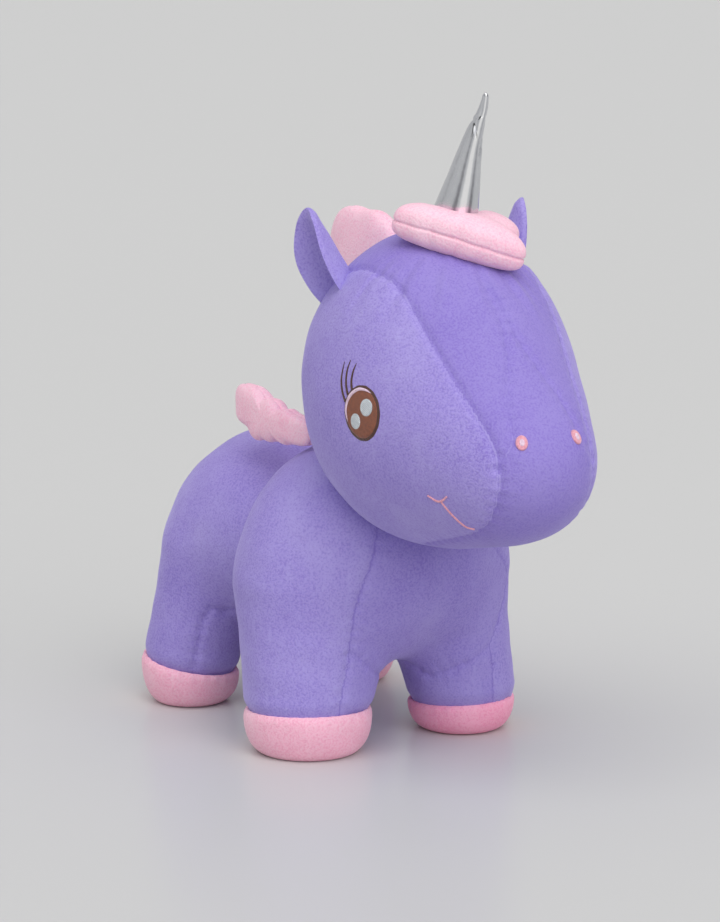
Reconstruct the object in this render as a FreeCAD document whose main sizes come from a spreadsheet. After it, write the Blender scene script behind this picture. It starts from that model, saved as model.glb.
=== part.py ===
import FreeCAD, Part
import os

# Plush unicorn.  Millimetres, +Z up, nose towards -Y, the animal's left is +X.
# The origin is on the floor, under the middle of the whole toy's bounding box.

document = FreeCAD.newDocument("plush_unicorn")

DRIVING_SIZES = {
    "fabric": 2.2,                 # thickness of the pile fabric and its backing
    "clearance": 0.6,              # air between two bodies that move on each other
    "stitch": 1.0,                 # height of the embroidery above the fabric
    "torso_width": 140.0,
    "torso_length": 208.0,
    "torso_height": 118.0,
    "torso_middle": 100.0,          # height of the barrel's centre above the floor
    "neck_width": 146.0,
    "neck_length": 110.0,
    "neck_height": 120.0,
    "neck_forward": 56.0,
    "neck_middle": 106.0,
    "leg_track": 100.0,
    "leg_base": 126.0,
    "foot_radius": 30.0,
    "thigh_radius": 21.0,
    "thigh_top": 98.0,
    "hoof_height": 21.0,
    "sole_thickness": 2.5,
    "chest_half": 38.0,
    "belly_line": 62.0,
    "skull_forward": 120.0,
    "skull_middle": 204.0,
    "skull_width": 138.0,
    "skull_length": 146.0,
    "skull_height": 165.0,
    "muzzle_forward": 178.0,
    "muzzle_middle": 175.0,
    "muzzle_width": 104.0,
    "muzzle_length": 120.0,
    "muzzle_height": 94.0,
    "nod_forward": 72.0,
    "nod_height": 150.0,
    "nod_swing": 5.0,
    "brow_half": 34.0,
    "eye_forward": 154.0,
    "eye_height": 200.0,
    "eye_width": 24.0,
    "eye_tall": 28.5,
    "nostril_half": 16.0,
    "nostril_height": 192.0,
    "mouth_height": 160.0,
    "ear_half": 44.0,
    "ear_forward": 100.0,
    "ear_height": 257.0,
    "ear_width": 33.0,
    "ear_length": 44.0,
    "ear_thickness": 11.0,
    "ear_lean": 20.0,
    "ear_swing": 20.0,
    "horn_forward": 135.0,
    "horn_foot": 283.0,
    "horn_radius": 12.0,
    "horn_tip": 1.8,
    "horn_length": 83.3,
    "horn_lean": 22.4,
    "horn_swing": 8.0,
    "hair_thickness": 13.0,
    "forelock_lobe": 17.0,
    "forelock_front": 16.0,
    "mane_thickness": 19.0,
    "mane_lobe": 24.0,
    "mane_stand": 18.0,
    "mane_top_turn": 36.0,
    "mane_middle_turn": 17.0,
    "mane_low_turn": -1.0,
    "wing_half": 37.0,
    "wing_root": 52.0,
    "wing_gap": 0.8,
    "wing_length": 70.0,
    "wing_thickness": 14.0,
    "wing_lobe": 9.5,
    "tail_reach": 123.0,
    "tail_gap": 2.4,
    "tail_thickness": 17.0,
    "tail_width": 25.0,
    "tail_length": 62.0,
    "tail_top": 126.0,
    "tail_lean": 16.0,
}


def make_sheet():
    """Puts every driving size in a spreadsheet cell that carries its name."""
    sheet = document.addObject("Spreadsheet::Sheet", "sizes")
    for row, (name, value) in enumerate(DRIVING_SIZES.items(), start=1):
        sheet.set(f"A{row}", name)
        sheet.set(f"B{row}", str(value))
        sheet.setAlias(f"B{row}", name)
    document.recompute()


make_sheet()

# The toy reaches from the nose to the tail; half of that places the feet's centre.
FEET = ("(sizes.muzzle_forward + sizes.muzzle_length / 2 - sizes.tail_reach) / 2")
SIDES = {"right": -1, "left": 1}
ENDS = {"front": -1, "hind": 1}


def back(expression):
    """A place along Y, measured backwards from the middle of the four feet."""
    return f"{FEET} + ({expression})"


def bind(item, bindings):
    """Ties properties of a document object to expressions."""
    for path, expression in bindings.items():
        item.setExpression(path, str(expression))
    return item


def solid(kind, name, at, turn=None, **sizes):
    """A Part primitive with its sizes and place tied to the sheet; turn is (axis, degrees)."""
    item = document.addObject(f"Part::{kind}", name)
    bind(item, sizes)
    if turn:
        axis, degrees = turn
        item.Placement = FreeCAD.Placement(FreeCAD.Vector(), FreeCAD.Rotation(FreeCAD.Vector(*axis), 1))
        item.setExpression("Placement.Rotation.Angle", str(degrees))
    x, y, z = at
    bind(item, {"Placement.Base.x": x, "Placement.Base.y": y, "Placement.Base.z": z})
    return item


def ellipsoid(name, at, width, length, height, turn=None):
    """An ellipsoid with its full width along X, length along Y and height along Z."""
    item = solid("Ellipsoid", name, at, turn, Radius1=f"({height}) / 2", Radius2=f"({width}) / 2",
                 Radius3=f"({length}) / 2")
    item.Angle1 = -90
    item.Angle2 = 90
    item.Angle3 = 360
    return item


def slab(name, low, high):
    """A box between two corners, each a triple of expressions."""
    sizes = [f"({b}) - ({a})" for a, b in zip(low, high)]
    return solid("Box", name, low, Length=sizes[0], Width=sizes[1], Height=sizes[2])


def cut(name, base, tool):
    """Base with the tool taken away."""
    item = document.addObject("Part::Cut", name)
    item.Base = base
    item.Tool = tool
    return item


def fuse(name, *pieces):
    """All the pieces as one solid."""
    item = document.addObject("Part::MultiFuse", name)
    item.Shapes = list(pieces)
    return item


def common(name, *pieces):
    """What all the pieces share."""
    item = document.addObject("Part::MultiCommon", name)
    item.Shapes = list(pieces)
    return item


def mirror(name, source):
    """The same solid on the other side of the middle plane."""
    item = document.addObject("Part::Mirroring", name)
    item.Source = source
    item.Normal = FreeCAD.Vector(1, 0, 0)
    return item


NODES = []


def node(item, name):
    """Marks a document object as a finished sub-part with its own name."""
    item.Label = name
    NODES.append(item)
    return item


# Head shapes come first: everything below the head keeps clear of them.

def skull(name, grow="0"):
    """The skull ellipsoid, grown by a distance."""
    return grown_ball(name, ("0", back("-sizes.skull_forward"), "sizes.skull_middle"), "skull", grow)


def muzzle(name, grow="0"):
    """The muzzle ellipsoid, grown by a distance."""
    place = ("0", back("-sizes.muzzle_forward"), "sizes.muzzle_middle")
    return grown_ball(name, place, "muzzle", grow)


def grown_ball(name, place, part, grow):
    """An ellipsoid with the full sizes of a part of the head, grown all round."""
    sizes = [f"sizes.{part}_{word} + 2 * ({grow})" for word in ("width", "length", "height")]
    return ellipsoid(name, place, *sizes)


def head_solid(name, grow="0"):
    """Skull and muzzle as one solid, grown by a distance."""
    return fuse(name, skull(f"{name}_skull", grow), muzzle(f"{name}_muzzle", grow))


def head_room():
    """The bowl that the head needs in the torso: the skull grown by its travel in a nod and some air."""
    lever = "sqrt((sizes.skull_forward - sizes.nod_forward) ^ 2 + (sizes.skull_middle - sizes.nod_height) ^ 2)"
    return skull("head_room", f"{lever} * sin(sizes.nod_swing * 1deg) + 3 * sizes.clearance")


def leg_place(side, end, z):
    """The centre of a leg at a height."""
    return (f"{SIDES[side]} * sizes.leg_track / 2", back(f"{ENDS[end]} * sizes.leg_base / 2"), z)


def barrel(name, inset):
    """The torso's barrel, smaller by an inset all round."""
    return ellipsoid(name, ("0", back("0"), "sizes.torso_middle"), f"sizes.torso_width - 2 * {inset}",
                     f"sizes.torso_length - 2 * {inset}", f"sizes.torso_height - 2 * {inset}")


def neck(name, inset):
    """The swelling of the torso that carries the head."""
    return ellipsoid(name, ("0", back("-sizes.neck_forward"), "sizes.neck_middle"),
                     f"sizes.neck_width - 2 * {inset}", f"sizes.neck_length - 2 * {inset}",
                     f"sizes.neck_height - 2 * {inset}")


def leg(name, side, end, inset):
    """One leg: a cone from the floor up into the torso."""
    return solid("Cone", name, leg_place(side, end, "0"), Radius1=f"sizes.foot_radius - {inset}",
                 Radius2=f"sizes.thigh_radius - {inset}", Height="sizes.thigh_top")


def thigh(name, side, end, inset):
    """The round top of a leg, inside the torso's corner."""
    return solid("Sphere", name, leg_place(side, end, "sizes.thigh_top"), Radius=f"sizes.thigh_radius - {inset}")


LEGS = [(end, side) for end in ENDS for side in SIDES]


def torso_solid(name, inset):
    """Barrel, neck and four legs as one solid."""
    pieces = [barrel(f"{name}_barrel", inset), neck(f"{name}_neck", inset)]
    for end, side in LEGS:
        pieces.append(leg(f"{name}_leg_{end}_{side}", side, end, inset))
        pieces.append(thigh(f"{name}_thigh_{end}_{side}", side, end, inset))
    return fuse(name, *pieces)


def leg_zone(name, side, end, low, high, inner_only=False):
    """The box around one leg between two heights, or around its inner half."""
    x, y, _ = leg_place(side, end, "0")
    reach = "sizes.foot_radius + 3"
    x_low, x_high = f"{x} - ({reach})", f"{x} + {reach}"
    if inner_only:
        x_low, x_high = (x, "0") if side == "right" else ("0", x)
    return slab(name, (x_low, f"{y} - ({reach})", low), (x_high, f"{y} + {reach}", high))


def make_torso():
    """Skins, hooves and filling of the torso."""
    room = head_room()
    outer = torso_solid("torso_outside", "0")
    inner = torso_solid("torso_inside", "sizes.fabric")
    closed = cut("torso_closed_skin", outer, inner)
    skin = cut("torso_skin", closed, room)
    for end, side in LEGS:
        foot = f"{end}_{side}"
        zone = leg_zone(f"band_zone_{foot}", side, end, "sizes.sole_thickness", "sizes.hoof_height")
        node(common(f"band_{foot}", closed, zone), f"hoof_band_{foot}")
        zone = leg_zone(f"sole_zone_{foot}", side, end, "0", "sizes.sole_thickness")
        cone = leg(f"sole_cone_{foot}", side, end, "0")
        node(common(f"sole_{foot}", cone, zone), f"hoof_sole_{foot}")
    make_torso_panels(skin)
    make_torso_filling(room)


def make_torso_panels(skin):
    """Cuts the torso's skin into the panels that are sewn together."""
    inner_zones = []
    for end, side in LEGS:
        foot = f"{end}_{side}"
        zone = leg_zone(f"inner_zone_{foot}", side, end, "sizes.hoof_height", "sizes.belly_line", inner_only=True)
        node(common(f"inner_{foot}", skin, zone), f"inner_leg_panel_{foot}")
        inner_zones.append(zone)
    belly_reach = "sizes.leg_base / 2 - sizes.foot_radius - 3"
    half = "sizes.leg_track / 2"
    belly_zone = slab("belly_zone", (f"-{half}", back(f"-({belly_reach})"), "sizes.hoof_height"),
                      (half, back(belly_reach), "sizes.belly_line"))
    node(common("belly", skin, belly_zone), "belly_panel")
    chest_zone = slab("chest_zone", ("-sizes.chest_half", back("-sizes.torso_length"), "sizes.belly_line"),
                      ("sizes.chest_half", back("-sizes.nod_forward"), "sizes.nod_height"))
    node(common("chest", skin, chest_zone), "chest_panel")
    front, rear, top = back("-sizes.torso_length"), back("sizes.torso_length"), "sizes.torso_height * 2"
    upper = slab("flank_upper", ("-sizes.torso_width", front, "sizes.belly_line"), ("0", rear, top))
    lower = slab("flank_lower", ("-sizes.torso_width", front, "sizes.hoof_height"),
                 (f"-{half}", rear, "sizes.belly_line"))
    flank_zone = cut("flank_zone", fuse("flank_zones", upper, lower), chest_zone)
    flank = node(common("flank_right", skin, flank_zone), "side_panel_right")
    node(mirror("flank_left", flank), "side_panel_left")


def make_torso_filling(room):
    """The stuffing: one wad in the barrel and the neck, and one in each leg up to its round top."""
    inset = "sizes.fabric"
    core = fuse("filling_core", barrel("filling_barrel", inset), neck("filling_neck", inset))
    for end, side in LEGS:
        foot = f"{end}_{side}"
        zone = leg_zone(f"wad_zone_{foot}", side, end, "sizes.sole_thickness", "2 * sizes.thigh_top")
        wad = fuse(f"wad_whole_{foot}", leg(f"wad_leg_{foot}", side, end, inset),
                   thigh(f"wad_top_{foot}", side, end, inset))
        node(cut(f"wad_{foot}", common(f"wad_above_sole_{foot}", wad, zone), core), f"leg_stuffing_{foot}")
    node(cut("filling", core, room), "torso_stuffing")


def make_head():
    """The five head panels, the filling and the embroidery."""
    outer = head_solid("head_outside")
    inner = head_solid("head_inside", "-sizes.fabric")
    skin = cut("head_skin", outer, inner)
    node(head_solid("head_filling", "-sizes.fabric"), "head_stuffing")
    reach = "sizes.skull_width"
    y_low, y_high = back("-2 * sizes.skull_forward"), back("0")
    z_low, z_high = "0", "2 * sizes.skull_middle"
    half = "sizes.brow_half"
    for side, sign in SIDES.items():
        low, high = (f"-{reach}", f"-{half}") if sign < 0 else (half, reach)
        zone = slab(f"cheek_zone_{side}", (low, y_low, z_low), (high, y_high, z_high))
        node(common(f"cheek_{side}", skin, zone), f"cheek_panel_{side}")
        low, high = (f"-{half}", "0") if sign < 0 else ("0", half)
        zone = slab(f"brow_zone_{side}", (low, y_low, "sizes.skull_middle"), (high, y_high, z_high))
        node(common(f"brow_{side}", skin, zone), f"brow_panel_{side}")
    zone = slab("muzzle_zone", (f"-{half}", y_low, z_low), (half, y_high, "sizes.skull_middle"))
    node(common("muzzle_skin", skin, zone), "muzzle_panel")
    make_eyes(outer)
    make_muzzle_stitches(outer)


def make_eyes(outer):
    """Embroidered eyes: an outline with three lashes, an iris and two highlights each."""
    layer = cut("eye_layer", skull("eye_layer_outside", "sizes.stitch"), outer)
    wide, tall = "sizes.eye_width", "sizes.eye_tall"
    rim = "2.4"
    depth = "30"
    for side, sign in SIDES.items():
        x = f"{sign} * sizes.skull_width / 2"
        y, z = "-sizes.eye_forward", "sizes.eye_height"
        full = ellipsoid(f"eye_full_{side}", (x, back(y), z), depth, wide, tall)
        iris = ellipsoid(f"eye_inside_{side}", (x, back(y), z), depth, f"{wide} - {rim}", f"{tall} - {rim}")
        spots = []
        for word, dy, dz, scale in (("upper", "-2.6", "4.2", "0.32"), ("lower", "3.2", "-4.6", "0.28")):
            spot = ellipsoid(f"eye_spot_{word}_{side}", (x, back(f"{y} + {dy}"), f"{z} + {dz}"), depth,
                             f"{wide} * {scale}", f"{tall} * {scale}")
            node(common(f"highlight_{word}_{side}", layer, spot), f"eye_highlight_{word}_{side}")
            spots.append(spot)
        plain = common(f"iris_plain_{side}", layer, iris)
        node(cut(f"iris_{side}", plain, fuse(f"spots_{side}", *spots)), f"eye_iris_{side}")
        lashes = [full]
        for index, (dy, lean) in enumerate((("5.5", "-14"), ("8", "-24"), ("10.5", "-34"))):
            lashes.append(solid("Box", f"lash_{index}_{side}", (f"{x} - 15", back(f"{y} + {dy}"), f"{z} + 5"),
                                ((1, 0, 0), f"{lean} * 1deg"), Length="30", Width="1.6", Height="sizes.eye_tall * 0.6"))
        figure = fuse(f"outline_figure_{side}", *lashes)
        plain = common(f"outline_plain_{side}", layer, figure)
        node(cut(f"outline_{side}", plain, iris), f"eye_outline_{side}")


def make_muzzle_stitches(outer):
    """Embroidered nostrils and the two halves of the smile."""
    layer = cut("muzzle_layer", muzzle("muzzle_layer_outside", "sizes.stitch"), outer)
    for side, sign in SIDES.items():
        front = "-sizes.muzzle_forward - sizes.muzzle_length / 2"
        spot = ellipsoid(f"nostril_spot_{side}", (f"{sign} * sizes.nostril_half", back(front), "sizes.nostril_height"),
                         "5.5", "40", "7.5")
        node(common(f"nostril_stitch_{side}", layer, spot), f"nostril_{side}")
        bar = solid("Box", f"mouth_bar_{side}", (f"{sign} * sizes.muzzle_width / 2 - 25",
                    back("-sizes.muzzle_forward - 30"), "sizes.mouth_height - 14"), ((1, 0, 0), "-37 * 1deg"),
                    Length="50", Width="2", Height="20")
        node(common(f"mouth_stitch_{side}", layer, bar), f"mouth_{side}")


def swung_skull(name, y, z, degrees):
    """The skull with air around it, turned by degrees about a cross axis at (y, z)."""
    dy, dz = f"(-sizes.skull_forward - ({y}))", f"(sizes.skull_middle - ({z}))"
    turned_y = f"{y} + {dy} * cos({degrees}) - {dz} * sin({degrees})"
    turned_z = f"{z} + {dy} * sin({degrees}) + {dz} * cos({degrees})"
    sizes = [f"sizes.skull_{word} + 2 * sizes.clearance" for word in ("width", "length", "height")]
    return ellipsoid(name, ("0", back(turned_y), turned_z), *sizes, ((1, 0, 0), degrees))


def make_ears():
    """Two flat ears; each has an outer skin with its filling and a lining set in its front."""
    for side, sign in SIDES.items():
        x, y, z = f"{sign} * sizes.ear_half", "-sizes.ear_forward", "sizes.ear_height"
        lean = f"{sign} * sizes.ear_lean * 1deg"
        middle = "sizes.ear_length / 2 - 6"
        place = (f"{x} + ({middle}) * sin({lean})", back(y), f"{z} + ({middle}) * cos({lean})")
        turn = ((0, 1, 0), lean)
        whole = ellipsoid(f"ear_whole_{side}", place, "sizes.ear_width", "sizes.ear_thickness",
                          "sizes.ear_length + 12", turn)
        dish = ellipsoid(f"ear_dish_{side}", (place[0], f"{place[1]} - sizes.ear_thickness * 0.55", place[2]),
                         "sizes.ear_width - 7", "sizes.ear_thickness * 0.9", "sizes.ear_length - 4", turn)
        paths = [swung_skull(f"ear_path_{word}_{side}", y, z, f"{step} * sizes.ear_swing * 1deg")
                 for word, step in (("a", -1), ("b", -0.5), ("c", 0), ("d", 0.5), ("e", 1))]
        path = fuse(f"ear_path_{side}", *paths)
        trimmed = cut(f"ear_trimmed_{side}", whole, path)
        lining = common(f"ear_lining_shape_{side}", trimmed, dish)
        node(lining, f"ear_lining_{side}")
        node(cut(f"ear_shape_{side}", trimmed, dish), f"ear_{side}")


def horn_cone(name, inset, path):
    """The horn's cone, smaller by an inset, with its foot cut clear of the skull."""
    lean = "sizes.horn_lean * 1deg"
    sink = "8"
    place = ("0", back(f"-sizes.horn_forward + {sink} * sin({lean})"), f"sizes.horn_foot - {sink} * cos({lean})")
    cone = solid("Cone", f"{name}_cone", place, ((1, 0, 0), lean), Radius1=f"sizes.horn_radius - {inset}",
                 Radius2=f"sizes.horn_tip - {inset} / 2", Height=f"sizes.horn_length + {sink} - 2 * {inset}")
    return cut(name, cone, path)


def make_horn():
    """A cone of lamé with a thin core of stuffing."""
    y, z = "-sizes.horn_forward", "sizes.horn_foot"
    paths = [swung_skull(f"horn_path_{word}", y, z, f"{step} * sizes.horn_swing * 1deg")
             for word, step in (("a", -1), ("b", 0), ("c", 1))]
    path = fuse("horn_path", *paths)
    outside = horn_cone("horn_outside", "0", path)
    core = horn_cone("horn_core", "0.8", path)
    node(cut("horn_skin", outside, core), "horn_skin")
    node(core, "horn_stuffing")


def lobe(name, x, y, radius):
    """An upright round column that gives a hair pad one lobe of its outline."""
    return solid("Cylinder", name, (x, back(y), "sizes.skull_middle"), Radius=radius,
                 Height="sizes.skull_height")


def forelock_outline(name, inset):
    """The star-shaped outline of the forelock: two side lobes, a front lobe and a bridge."""
    radius = f"sizes.forelock_lobe - {inset}"
    side_y = "-sizes.horn_forward + 4"
    front_y = "-sizes.horn_forward - sizes.horn_radius - sizes.forelock_front"
    return fuse(name, lobe(f"{name}_right", "-26", side_y, radius), lobe(f"{name}_left", "26", side_y, radius),
                lobe(f"{name}_front", "3", front_y, f"{radius} + 4"), lobe(f"{name}_tip", "10", f"{front_y} - 12", radius),
                lobe(f"{name}_bridge_right", "-13", f"{side_y} - 14", radius),
                lobe(f"{name}_bridge_left", "15", f"{side_y} - 14", radius))


def head_layer(name, low, high):
    """The space between two grown copies of the skull."""
    return cut(name, skull(f"{name}_far", high), skull(f"{name}_near", low))


def make_forelock():
    """The pad of hair on the crown: two skins around a filling, open round the horn."""
    lean = "sizes.horn_lean * 1deg"
    hole = solid("Cone", "horn_room", ("0", back(f"-sizes.horn_forward + 12 * sin({lean})"),
                 f"sizes.horn_foot - 12 * cos({lean})"), ((1, 0, 0), lean), Radius1="sizes.horn_radius + 2.4",
                 Radius2="sizes.horn_radius + 9", Height="sizes.horn_length / 2")
    whole = forelock_outline("forelock_outline", "0")
    filling = forelock_outline("forelock_filling_outline", "sizes.fabric")
    thick, skin = "sizes.hair_thickness", "sizes.fabric"
    core = common("forelock_core", head_layer("forelock_core_layer", skin, f"{thick} - {skin}"), filling)
    rise = muzzle("forelock_muzzle")
    opening = fuse("forelock_opening", hole, rise)
    node(cut("forelock_filling", core, opening), "forelock_stuffing")
    for word, low, high in (("under", "0", f"{thick} / 2"), ("top", f"{thick} / 2", thick)):
        layer = common(f"forelock_layer_{word}", head_layer(f"forelock_{word}_layer", low, high), whole)
        open_layer = cut(f"forelock_open_{word}", layer, opening)
        node(cut(f"forelock_{word}", open_layer, core), f"forelock_{word}")


MANE_LOBES = ("top", "middle", "low")


def mane_solid(name, inset):
    """Three round lobes in a row down the back of the head, as one pad."""
    lobes = []
    for word in MANE_LOBES:
        half = f"sizes.mane_thickness / 2 - {inset}"
        turn = f"sizes.mane_{word}_turn * 1deg"
        y = f"-sizes.skull_forward + (sizes.skull_length / 2 + sizes.mane_stand) * cos({turn})"
        z = f"sizes.skull_middle + (sizes.skull_height / 2 + sizes.mane_stand) * sin({turn})"
        lobes.append(solid("Cylinder", f"{name}_{word}", (f"-({half})", back(y), z), ((0, 1, 0), "90 * 1deg"),
                           Radius=f"sizes.mane_lobe - {inset}", Height=f"2 * ({half})"))
    return fuse(name, *lobes)


def make_mane(head):
    """The scalloped mane: two skins and a filling, sewn to the back of the head."""
    outside = cut("mane_outside", mane_solid("mane_whole", "0"), head)
    filling = cut("mane_filling", mane_solid("mane_core", "sizes.fabric"), head)
    node(filling, "mane_stuffing")
    skin = cut("mane_skin", outside, filling)
    reach = "sizes.mane_thickness"
    for side, sign in SIDES.items():
        low, high = (f"-{reach}", "0") if sign < 0 else ("0", reach)
        zone = slab(f"mane_zone_{side}", (low, back("-200"), "0"), (high, back("200"), "2 * sizes.skull_middle"))
        node(common(f"mane_skin_{side}", skin, zone), f"mane_skin_{side}")


def wing_solid(name, side, inset):
    """One wing: a root and three scallops, as a flat pad standing along the back."""
    sign = SIDES[side]
    half = f"sizes.wing_thickness / 2 - {inset}"
    x_low = f"{sign} * sizes.wing_half - ({half})"
    radius = f"sizes.wing_lobe - {inset}"
    root = "-sizes.wing_root"
    inner_edge = "(sizes.wing_half - sizes.wing_thickness / 2)"
    backs = [f"sizes.{part}_middle + sizes.{part}_height / 2 * sqrt(1 - (2 * {inner_edge} / sizes.{part}_width) ^ 2)"
             for part in ("torso", "neck")]
    floor = f"max({backs[0]}; {backs[1]}) + sizes.wing_gap"
    lobes = []
    for word, along, up in (("root", "0.15", "0"), ("fore", "0.3", "6"), ("web", "0.45", "1"), ("top", "0.55", "12"),
                            ("belly", "0.65", "2"), ("low", "0.85", "0"), ("inner", "0.82", "8"), ("high", "0.8", "17"),
                            ("mid", "1", "10")):
        place = (x_low, back(f"{root} + sizes.wing_length * {along}"), f"{floor} + sizes.wing_lobe + {up}")
        lobes.append(solid("Cylinder", f"{name}_{word}", place, ((0, 1, 0), "90 * 1deg"), Radius=radius,
                           Height=f"2 * ({half})"))
    return fuse(name, *lobes)


def make_wings():
    """Two wings, each of an outer skin, an inner skin and a filling."""
    for side, sign in SIDES.items():
        whole = wing_solid(f"wing_whole_{side}", side, "0")
        core = wing_solid(f"wing_core_{side}", side, "sizes.fabric")
        node(core, f"wing_stuffing_{side}")
        skin = cut(f"wing_skin_{side}", whole, core)
        plane = f"{sign} * sizes.wing_half"
        near, far = "0", f"{sign} * sizes.torso_width"
        for face, a, b in (("outer", plane, far), ("inner", near, plane)):
            low, high = (a, b) if sign > 0 else (b, a)
            zone = slab(f"wing_zone_{face}_{side}", (low, back("-sizes.torso_length"), "0"),
                        (high, back("sizes.torso_length"), "2 * sizes.skull_middle"))
            node(common(f"wing_{face}_{side}", skin, zone), f"wing_{face}_{side}")


def make_tail():
    """A short tail that hangs over the rump, a skin around a filling."""
    lean = "sizes.tail_lean * 1deg"
    half_depth = f"sqrt((sizes.tail_length / 2 * sin({lean})) ^ 2 + (sizes.tail_thickness / 2 * cos({lean})) ^ 2)"
    middle = back(f"sizes.tail_reach - {half_depth}")
    height = "sizes.tail_top - sizes.tail_length / 2"
    rump = ellipsoid("tail_room", ("0", back("0"), "sizes.torso_middle"), "sizes.torso_width + 2 * sizes.tail_gap",
                     "sizes.torso_length + 2 * sizes.tail_gap", "sizes.torso_height + 2 * sizes.tail_gap")
    shapes = []
    for word, inset in (("outside", "0"), ("filling", "sizes.fabric")):
        whole = ellipsoid(f"tail_whole_{word}", ("0", middle, height), f"sizes.tail_width - 2 * {inset}",
                          f"sizes.tail_thickness - 2 * {inset}", f"sizes.tail_length - 2 * {inset}", ((1, 0, 0), lean))
        shapes.append(cut(f"tail_{word}", whole, rump))
    outside, filling = shapes
    node(filling, "tail_stuffing")
    node(cut("tail_shell", outside, filling), "tail_skin")


make_torso()
make_head()
make_ears()
make_horn()
make_forelock()
make_mane(skull("mane_seat"))
make_wings()
make_tail()
document.recompute()


def check_model():
    """Stops the build if a document object failed or a sub-part is not one valid solid."""
    for item in document.Objects:
        if "Invalid" in item.State or "Error" in item.State:
            raise RuntimeError(f"{item.Name} failed: {item.State}")
    for item in NODES:
        shape = item.Shape
        if shape.isNull() or not shape.isValid():
            raise RuntimeError(f"{item.Label} has no valid shape")
        if not shape.Solids:
            raise RuntimeError(f"{item.Label} holds no solid")
        if len(shape.Solids) > 1:
            print(f"{item.Label}: {len(shape.Solids)} solids")


check_model()
os.makedirs("parts", exist_ok=True)
for item in NODES:
    item.Shape.exportStep(f"parts/{item.Label}.step")
print(f"{len(NODES)} sub-parts written")
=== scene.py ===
import math

import bpy
import numpy as np
from mathutils import Matrix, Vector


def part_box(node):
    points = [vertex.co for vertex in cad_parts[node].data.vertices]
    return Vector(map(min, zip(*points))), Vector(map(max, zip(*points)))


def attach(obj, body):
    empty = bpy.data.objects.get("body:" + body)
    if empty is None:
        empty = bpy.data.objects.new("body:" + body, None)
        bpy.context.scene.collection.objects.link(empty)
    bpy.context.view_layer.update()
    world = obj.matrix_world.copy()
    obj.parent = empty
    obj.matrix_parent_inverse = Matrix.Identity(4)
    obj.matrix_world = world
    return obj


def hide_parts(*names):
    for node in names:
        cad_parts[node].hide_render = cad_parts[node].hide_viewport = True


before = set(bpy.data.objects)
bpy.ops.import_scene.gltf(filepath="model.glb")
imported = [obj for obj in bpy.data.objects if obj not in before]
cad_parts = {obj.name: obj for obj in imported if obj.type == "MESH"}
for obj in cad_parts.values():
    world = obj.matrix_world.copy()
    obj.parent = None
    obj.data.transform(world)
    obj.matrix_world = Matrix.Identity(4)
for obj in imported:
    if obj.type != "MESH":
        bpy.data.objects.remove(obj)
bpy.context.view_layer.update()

# ---------------------------------------------------------------------------
# Floor, light and camera.
# A seamless pale grey sweep with a faint gloss, one wide soft key from high on
# the front left, a weaker fill from the right and even light from all round.
# ---------------------------------------------------------------------------
ENDS = ("front", "hind")
SIDES = {"right": -1, "left": 1}
soles = [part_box(f"hoof_sole_{end}_{side}") for end in ENDS for side in SIDES]
feet = np.mean([np.add(low, high) / 2 for low, high in soles], axis=0) * (1, 1, 0)

FLOOR_HALF = 30.0
floor_mesh = bpy.data.meshes.new("floor")
floor_mesh.from_pydata([(-FLOOR_HALF, -FLOOR_HALF, 0), (FLOOR_HALF, -FLOOR_HALF, 0),
                        (FLOOR_HALF, FLOOR_HALF, 0), (-FLOOR_HALF, FLOOR_HALF, 0)], [], [(0, 1, 2, 3)])
floor = bpy.data.objects.new("floor", floor_mesh)
bpy.context.scene.collection.objects.link(floor)
sweep = bpy.data.materials.new("grey_sweep")
sweep.use_nodes = True
shader = sweep.node_tree.nodes["Principled BSDF"]
shader.inputs["Base Color"].default_value = (0.60, 0.60, 0.60, 1)
shader.inputs["Roughness"].default_value = 0.26
shader.inputs["Specular IOR Level"].default_value = 0.08
floor_mesh.materials.append(sweep)

world = bpy.data.worlds.new("soft_room")
world.use_nodes = True
sky = world.node_tree
sky_way = sky.nodes.new("ShaderNodeTexCoord").outputs["Generated"]
sky_round = sky.nodes.new("ShaderNodeTexGradient")
sky_round.gradient_type = "RADIAL"
sky_bands = sky.nodes.new("ShaderNodeValToRGB")
sky.links.new(sky_way, sky_round.inputs["Vector"])
sky.links.new(sky_round.outputs["Fac"], sky_bands.inputs["Fac"])
sky.links.new(sky_bands.outputs["Color"], sky.nodes["Background"].inputs["Color"])
SKY_BANDS = ((0.0, 1.0), (0.05, 1.0), (0.075, 0.05), (0.13, 0.05), (0.165, 2.2), (0.30, 2.2),
             (0.325, 0.05), (0.395, 0.05), (0.43, 1.0), (1.0, 1.0))
while len(sky_bands.color_ramp.elements) < len(SKY_BANDS):
    sky_bands.color_ramp.elements.new(0.5)
for band, (place, light) in zip(sky_bands.color_ramp.elements, SKY_BANDS):
    band.position = place
    band.color = (light, light, light, 1)
world.node_tree.nodes["Background"].inputs["Strength"].default_value = 0.60
bpy.context.scene.world = world
bpy.context.scene.view_settings.view_transform = "Standard"


def sun(name, strength, width, azimuth, height):
    """A far lamp whose light is even over the floor; width is the angle that it fills in the sky."""
    lamp = bpy.data.lights.new(name, "SUN")
    lamp.energy = strength
    lamp.angle = math.radians(width)
    holder = bpy.data.objects.new(name, lamp)
    holder.rotation_euler = (math.radians(90 - height), 0, math.radians(azimuth))
    bpy.context.scene.collection.objects.link(holder)


sun("key", 1.02, 50, -50, 58)
sun("fill", 0.80, 60, 15, 42)

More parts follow.
